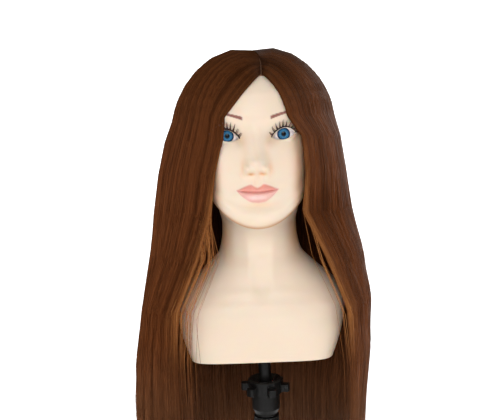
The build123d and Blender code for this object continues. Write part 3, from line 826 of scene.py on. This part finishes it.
# How the hair hangs: level, half width to the outside and to the inner edge on the head's left,
# the same on its right, and the front edge's Y
HAIR_FALL = [
    (20, 121, 96, 162, 102, -61),
    (50, 123, 98, 165, 104, -62),
    (97, 126, 101, 168, 106, -64),
    (149, 129, 104, 168, 107, -66),
    (188, 135, 105, 163, 106, -66),
    (228, 137, 104, 158, 105, -65),
    (250, 138, 102, 153, 103, -64),
    (271, 137.5, 96, 149, 94, -63),
    (289, 134.5, 89, 145, 83, -61),
    (316, 129.5, 78, 139, 75, -60),
    (336, 124.5, 68, 137.5, 68, -60),
    (354, 121, 60, 135, 63, -61),
    (371, 117, 53, 131.5, 57, -63),
    (389, 114.5, 51.5, 128.5, 54, -69),
    (411, 112, 55.5, 124.5, 50, -76),
    (432, 109.5, 57.5, 121, 44, -82),
    (449, 107, 55.5, 116, 39, -86),
    (467, 103.5, 48, 109.5, 36, -88.5),
    (482, 99, 37, 103, 34, -88.5),
    (494, 97.5, 31.5, 99, 29.5, -89),
]


def fall_points(side, across, depth, level):
    """Where hair hangs at a level: across is 0 at the front edge and 1 at the middle of the
    back, depth 1 on the outside and 0 on the inside."""
    table = np.array(HAIR_FALL, float)
    first = 1 if side > 0 else 3
    outer = smooth_through(table[:, 0], table[:, first], level) - (1 - depth) * LAYER_T
    edge = smooth_through(table[:, 0], table[:, first + 1], level)
    edge_y = smooth_through(table[:, 0], table[:, 5], level) + (1 - depth) * LAYER_T * 0.9
    start = np.arcsin(np.clip(edge / outer, 0, 0.97))
    angle = start + (pi - start) * across
    front = (edge_y - FALL_CENTRE_Y) * np.cos(angle) / np.cos(start)
    back = -np.cos(angle) * (BACK_DEPTH - (1 - depth) * LAYER_T)
    y = FALL_CENTRE_Y + np.where(angle < pi / 2, front, back)
    return np.stack([side * outer * np.sin(angle), y, level + 0 * y], axis=-1)


def radius_of(axes, direction):
    """Distance from an ellipsoid's centre to its surface in a direction."""
    return 1 / np.sqrt(((direction / axes) ** 2).sum(axis=-1))


def unit(vectors):
    return vectors / np.linalg.norm(vectors, axis=-1, keepdims=True)


def parting_x(y):
    """The parting runs a little to the head's left at the forehead."""
    return 9.0 * ease(8, 62, -y)


def crown_points(side, across, depth, share, start):
    """Hair over the crown, from its root (share 0) to where it begins to hang (share 1)."""
    root_y = ROOTS_FRONT_Y + ROOTS_LENGTH * np.clip(across, 0, 1) ** 0.8
    root_x = side * PARTING_HALF + parting_x(root_y)
    skull_x, skull_y = root_x / SKULL_AXES[0], (root_y - SKULL[1]) / SKULL_AXES[1]
    lift = np.sqrt(np.clip(1 - skull_y**2 - skull_x**2, 0.01, 1))
    root = np.stack([root_x, root_y, SKULL[2] + SKULL_AXES[2] * lift], axis=-1)
    hang = fall_points(side, across, 1.0, FALL_TOP + 0 * across)
    swept = ease(0, 0.14, across)
    between = (root + hang) / 2
    bow_x, bow_z = HAIRLINE_BOW[side]
    low_x, low_z = between[..., 0] + bow_x, between[..., 2] + bow_z
    high_x, high_z = hang[..., 0] * 0.74, root[..., 2] - 3
    middle_x = low_x + (high_x - low_x) * swept
    middle_z = low_z + (high_z - low_z) * swept
    middle = np.stack([middle_x, between[..., 1], middle_z], axis=-1)
    at = (start + (1 - start) * share)[..., None]
    route = (1 - at) ** 2 * root + 2 * at * (1 - at) * middle + at**2 * hang
    way = unit(route - SKULL)
    hang_way = unit(hang - SKULL)
    crown_axes = np.array([CROWN_WIDTH[side], CROWN_DEPTH, CROWN_HEIGHT])
    fitted = np.linalg.norm(hang - SKULL, axis=-1) / radius_of(crown_axes, hang_way)
    outer = radius_of(crown_axes, way) * (1 - 0.035 * (1 - swept) * (1 - at[..., 0]))
    outer *= 1 + (fitted - 1) * at[..., 0] ** 2
    scalp = radius_of(SKULL_AXES, way) + 1.5
    rise = ease(-0.12, 0.26, share) * 0.92 + 0.08 * share
    layer = scalp + (outer - scalp) * (0.25 + 0.75 * depth)
    return SKULL + way * (scalp + (layer - scalp) * rise)[..., None]


def hair_routes(side, across, depth, start, tip, wander):
    """Routes of many strands at once, as an array (strands, places, 3), and their shares along."""
    share = np.linspace(0, 1, CROWN_PLACES)[None] * np.ones((len(across), 1))
    one = np.ones_like(share)
    crown = crown_points(side, across[:, None] * one, depth[:, None] * one, share, start[:, None] * one)
    drop = (np.arange(1, FALL_PLACES + 1) / FALL_PLACES)[None] ** 1.4
    level = FALL_TOP - (FALL_TOP - tip[:, None]) * drop
    across_here = across[:, None] + wander(drop, level)
    hang = fall_points(side, across_here, depth[:, None] + 0 * drop, level)
    # Below the crown a strand keeps the offset that its depth gave it there
    step = crown[:, -1] - fall_points(side, across, depth, FALL_TOP + 0 * across)
    hang += step[:, None] * np.exp(-drop * 5)[..., None]
    routes = np.concatenate([crown, hang], axis=1)
    along = np.concatenate([share * 0.25, 0.25 + 0.75 * drop + 0 * level], axis=1)
    return routes, along


def hair_material(name, dull, tint=(1.0, 1.0, 1.0)):
    """Brown hair, paler towards its tips, with a painted warm glow where light comes through it."""
    nodes = Nodes(name, Roughness=dull, Specular_IOR_Level=0.14, Specular_Tint=(1.0, 0.55, 0.30, 1))
    along, lock, strand, thin = (nodes.attribute(a) for a in ("along", "lock", "strand", "thin"))
    shade = nodes.math("ADD", nodes.math("MULTIPLY", lock, 0.55), nodes.math("MULTIPLY", strand, 0.45))
    dark = nodes.ramp(
        along, (0.0, (0.027, 0.0085, 0.0022)), (0.3, (0.050, 0.0145, 0.004)),
        (0.7, (0.062, 0.018, 0.005)), (1.0, (0.105, 0.042, 0.018)),
    )
    light = nodes.ramp(
        along, (0.0, (0.092, 0.029, 0.0075)), (0.3, (0.172, 0.050, 0.0145)),
        (0.7, (0.21, 0.061, 0.0175)), (1.0, (0.27, 0.120, 0.056)),
    )
    body = nodes.mix(shade, dark, light)
    streak = nodes.noise(nodes.object_place((1, 1, 0.04)), 700.0, 2.0)
    body = nodes.mix(0.5, body, nodes.ramp(streak, (0.3, 0.72), (0.7, 1.28)), "MULTIPLY")
    # Painted glow: a warm colour that stands for light coming through thin hair
    painted_warm_shade_and_glow = nodes.mix(shade, (0.34, 0.105, 0.028), (0.72, 0.31, 0.10))
    nodes.colour(nodes.mix(1.0, nodes.mix(thin, body, painted_warm_shade_and_glow), tint, "MULTIPLY"))
    nodes.roughness(nodes.ramp(streak, (0.3, dull - 0.06), (0.7, dull + 0.06)))
    return nodes.material


def make_strands(name, side, low, high, count, rng, material):
    """One part of the hair, between two places across from the front edge to the back."""
    across = rng.uniform(low, high, count)
    if low == 0:
        across = np.where(rng.random(count) < 0.25, rng.uniform(0, 0.05, count), across)
    depth = 1 - rng.random(count) ** 1.6 * 0.95
    start = np.where(rng.random(count) < 0.5, 0.0, rng.uniform(0, 0.6, count)) * (across > 0.02)
    tip = TIP_Z - TIP_LONGER * rng.random(count) ** 1.5
    tip += TIP_SHORTER * (rng.random(count) < 0.25) * rng.random(count)
    tip += REAR_LIFT * ease(0.55, 0.8, across)
    locks = max(int(150 * (high - low)), 12)
    lock_places = np.sort(rng.uniform(low, high, locks))
    mine = np.clip(np.searchsorted(lock_places, across + rng.normal(0, 0.004, count)), 0, locks - 1)
    pull = rng.uniform(0.3, 0.75, locks)[mine]
    sway = rng.normal(0, 0.006, (locks, 2))[mine]
    own = rng.normal(0, 0.0025, (count, 2))
    strays = (across < 0.05) & (rng.random(count) < STRAY_SHARE[side])
    stray = np.where(strays, rng.uniform(0, 0.10, count), 0)
    waves = rng.uniform(0.6, 1.6, count)
    phase = rng.uniform(0, 2 * pi, count)

    def wander(drop, level):
        gather = (lock_places[mine] - across)[:, None] * pull[:, None] * ease(0.1, 1.0, drop)
        swing = (sway + own)[:, :1] * np.sin(2 * pi * waves[:, None] * drop + phase[:, None])
        spread = (sway + own)[:, 1:] * drop**2
        edge = -stray[:, None] * ease(-385, -310, -level)
        moved = gather + swing * ease(0, 0.3, drop) + spread + edge
        inward = ease(0.0, 0.04, across)[:, None]
        return np.where(moved < 0, moved * np.maximum(inward, stray[:, None] > 0), moved)

    routes, along = hair_routes(side, across, depth, start, tip, wander)
    routes[..., 1] = np.maximum(routes[..., 1], FRONT_LIMIT_Y)
    wild = (np.where(rng.random(count) < 0.04, 3.2, 1.0) + 1.2 * (across < 0.03))[:, None, None]
    loose = rng.normal(0, 0.5, routes.shape) * ease(0.1, 1.0, along)[..., None] * wild
    routes += loose * (1, 1, 0)
    height = routes[..., 2]
    # Where the strands get the painted glow of light coming through them: the front edge over the skin,
    # the edge over the chest, and the loose strays
    over_skin = ease(-0.022, -0.0, -across)[:, None] * ease(-470, -360, -height) * ease(185, 215, height)
    loose_ones = (stray[:, None] > 0) * ease(-420, -330, -height) * ease(185, 215, height)
    over_chest = ease(-0.07, -0.01, -across)[:, None] * ease(-335, -285, -height) * ease(190, 225, height)
    thin = np.clip(over_skin * 0.5 + over_chest * 0.2 + loose_ones, 0, 1)
    taper = np.interp(np.arange(routes.shape[1]), [0, 3, 12, 14], [0.75, 1.0, 0.85, 0.25])
    thick = rng.uniform(*STRAND_R, count) * np.where(stray > 0, 0.75, 1.0)
    radii = thick[:, None] * taper[None]
    values = {
        "along": along,
        "strand": rng.random(count)[:, None] * np.ones_like(along),
        "lock": rng.random(locks)[mine][:, None] * np.ones_like(along),
        "thin": thin,
    }
    hair = strand_mesh(name, routes, radii, values)
    hair.data.materials.append(material)
    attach(hair, "head")
    return hair


def make_underlayer(name, side, material):
    """The closed body of hair under the loose strands."""
    rows, columns = 44, 60
    bm = bmesh.new()
    bmesh.ops.create_grid(bm, x_segments=columns, y_segments=rows, size=0.5)
    layer = new_object(name, bm)
    flat = coordinates(layer.data)
    across, run = flat[:, 0] + 0.5, flat[:, 1] + 0.5
    depth = 0.45 + 0.12 * np.sin(across * 67) * np.sin(across * 23 + 1)
    crown = crown_points(side, across, depth, np.clip(run / 0.25, 0, 1), 0 * across)
    drop = np.clip((run - 0.25) / 0.75, 0, 1)
    tip = UNDER_TIP_Z + 5 * np.sin(across * 90) + 3 * np.sin(across * 211)
    hang = fall_points(side, across * 0.985 + 0.012, depth, FALL_TOP - (FALL_TOP - tip) * drop)
    joint = fall_points(side, across * 0.985 + 0.012, depth, FALL_TOP + 0 * across)
    end = crown_points(side, across, depth, 1 + 0 * across, 0 * across)
    hang += (end - joint) * np.exp(-drop * 5)[:, None]
    set_coordinates(layer.data, np.where((run < 0.25)[:, None], crown, hang) * MM)
    lock = 0.5 + 0.5 * np.sin(across * 310 + 2 * np.sin(across * 97))
    # Darker tones than the strands', part of the painted shade under them
    shades = {"along": run, "strand": 0.3 + 0 * run, "lock": lock * 0.6, "thin": 0 * run}
    for key, values in shades.items():
        set_attribute(layer.data, key, values)
    thick = layer.modifiers.new("thickness", "SOLIDIFY")
    thick.thickness = 1.2 * MM
    thick.offset = 0
    layer.data.materials.append(material)
    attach(layer, "head")
    return layer


def make_hair():
    """Both sides of the parting: a closed body of hair with three zones of strands over it."""
    rng = np.random.default_rng(7)
    material = hair_material("brown_hair", 0.42)
    # The body of hair under the strands is tinted to half brightness: painted shade for the hair deep
    # under them
    under = hair_material("under_hair_painted_shade", 0.6, (0.5, 0.45, 0.42))
    for name, side in SIDES.items():
        make_underlayer(f"hair_under_{name}", side, under)
        for zone, low, high in HAIR_ZONES:
            strands = make_strands(f"hair_{name}_{zone}", side, low, high, STRANDS_IN_ZONE, rng, material)
    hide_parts("hair_crown", "hair_back", "hair_left", "hair_right")


# ---------------------------------------------------------------- finishes of the carried-over nodes
def moulded_plastic(name, colour, dull=0.38, grain=900.0, grain_height=0.35):
    """Injection-moulded plastic: spark-eroded grain, faint flow marks, paler rubbed edges."""
    nodes = Nodes(name, Roughness=dull, IOR=1.5, Specular_IOR_Level=0.2)
    place = nodes.object_place()
    fine = nodes.noise(place, grain, 3.0)
    flow = nodes.noise(nodes.object_place((1, 1, 0.3)), 45.0, 4.0)
    pale = tuple(min(1.0, c * 1.5 + 0.003) for c in colour)
    toned = nodes.mix(nodes.ramp(flow, (0.35, 0.0), (0.75, 0.5)), colour, pale)
    edge = nodes.add("ShaderNodeNewGeometry").outputs["Pointiness"]
    rubbed = nodes.mix(nodes.ramp(edge, (0.52, 0.0), (0.62, 0.45)), toned, pale)
    nodes.colour(rubbed)
    nodes.roughness(nodes.ramp(flow, (0.3, dull - 0.07), (0.7, dull + 0.10)))
    nodes.bump(fine, grain_height, 0.0002)
    return nodes.material


def turned_metal(name, colour, dull, along="Z"):
    """Plated metal with fine turning lines around its axis, and dull spots."""
    nodes = Nodes(name, Metallic=1.0, Roughness=dull)
    stretch = {"Z": (0.4, 0.4, 30), "X": (30, 0.4, 0.4)}[along]
    lines = nodes.noise(nodes.object_place(stretch), 160.0, 2.0)
    spots = nodes.noise(nodes.object_place(), 120.0, 4.0)
    dark = tuple(c * 0.72 for c in colour)
    nodes.colour(nodes.mix(nodes.ramp(spots, (0.35, 0.0), (0.7, 1.0)), dark, colour))
    nodes.roughness(nodes.ramp(spots, (0.3, dull + 0.12), (0.7, dull - 0.05)))
    nodes.bump(lines, 0.25, 0.00006)
    return nodes.material


def soft_rubber(name, colour):
    """Dull rubber with fine ribs and a little dust."""
    nodes = Nodes(name, Roughness=0.75, Specular_IOR_Level=0.35)
    place = nodes.object_place()
    dust = nodes.noise(place, 70.0, 5.0)
    nodes.colour(nodes.mix(nodes.ramp(dust, (0.45, 0.0), (0.8, 0.5)), colour, (0.11, 0.105, 0.10)))
    nodes.roughness(nodes.ramp(dust, (0.3, 0.65), (0.7, 0.85)))
    ribs = nodes.add("ShaderNodeTexWave", Scale=420.0, bands_direction="X")
    nodes.link(place, ribs.inputs["Vector"])
    nodes.bump(ribs.outputs["Fac"], 0.5, 0.0003)
    return nodes.material


def foam_material():
    """Open-celled cream foam."""
    nodes = Nodes("cream_foam", Roughness=0.9, Specular_IOR_Level=0.2)
    place = nodes.object_place()
    cells = nodes.add("ShaderNodeTexVoronoi", Scale=620.0)
    nodes.link(place, cells.inputs["Vector"])
    mottle = nodes.noise(place, 30.0, 4.0)
    nodes.colour(nodes.ramp(mottle, (0.3, (0.62, 0.52, 0.34)), (0.7, (0.74, 0.64, 0.45))))
    nodes.roughness(nodes.ramp(cells.outputs["Distance"], (0.0, 0.95), (0.5, 0.82)))
    nodes.bump(cells.outputs["Distance"], 0.7, 0.0006)
    return nodes.material


def scalp_material():
    """Brown lace scalp that shows in the parting, with rows of knots."""
    nodes = Nodes("lace_scalp", Roughness=0.7, Specular_IOR_Level=0.25)
    place = nodes.object_place()
    knots = nodes.add("ShaderNodeTexVoronoi", Scale=520.0)
    nodes.link(place, knots.inputs["Vector"])
    tone = nodes.ramp(knots.outputs["Distance"], (0.12, (0.05, 0.02, 0.01)), (0.4, (0.27, 0.15, 0.09)))
    patches = nodes.ramp(nodes.noise(place, 80.0, 3.0), (0.3, 0.0), (0.7, 0.5))
    nodes.colour(nodes.mix(patches, tone, (0.12, 0.055, 0.028)))
    nodes.roughness(nodes.ramp(knots.outputs["Distance"], (0.1, 0.5), (0.5, 0.8)))
    nodes.bump(knots.outputs["Distance"], 0.6, 0.0004)
    return nodes.material


def finish_cad_parts():
    """Gives every node that is carried over its own procedural finish."""
    black = (0.0065, 0.006, 0.0055)
    zinc = (0.62, 0.63, 0.64)
    holder = moulded_plastic("black_moulding", black, 0.42)
    ring = moulded_plastic("ring_moulding", (0.005, 0.0048, 0.0045), 0.28, 700.0, 0.25)
    seat = moulded_plastic("seat_acetal", (0.30, 0.29, 0.26), 0.32, 1200.0, 0.1)
    plate = moulded_plastic("plate_moulding", (0.55, 0.45, 0.33), 0.45)
    sleeve = moulded_plastic("sleeve_moulding", (0.030, 0.029, 0.028), 0.4)
    rubber = soft_rubber("ribbed_rubber", (0.016, 0.016, 0.017))
    steel = turned_metal("zinc_steel", zinc, 0.30)
    bar = turned_metal("drawn_steel_bar", zinc, 0.26, "X")
    brass = turned_metal("turned_brass", (0.80, 0.56, 0.26), 0.28)
    finishes = {
        holder: ("clamp_frame", "cup_body", "pressure_pad", "tommy_bar_caps"),
        ring: ("lock_ring", "post"),
        seat: ("ball_seat",),
        plate: ("base_plate",),
        sleeve: ("socket_sleeve",),
        rubber: ("jaw_pad", "pad_rubber"),
        steel: ("clamp_screw", "retaining_screw", "retaining_washer", "base_screws"),
        bar: ("tommy_bar",),
        brass: ("thread_insert",),
        scalp_material(): ("scalp_cap",),
    }
    for material, names in finishes.items():
        for name in names:
            for slot in bpy.data.objects[name].material_slots:
                slot.material = material


SIDE_OF = {side: name for name, side in SIDES.items()}
PROFILE = triangle_profile()

add_camera()
add_stage()
add_lights()
finish_cad_parts()
skin_tree = make_skin()
make_foam()
eye_paint, lash_fibre = eye_material(), lash_material()
lash_rng = np.random.default_rng(3)
for side_name, side in SIDES.items():
    make_eye(f"{side_name}_glass_eye", side, eye_paint)
    make_lashes(f"{side_name}_upper_lashes", side, lash_fibre, lash_rng, skin_tree)
make_hair()
bpy.data.objects.remove(PROFILE)
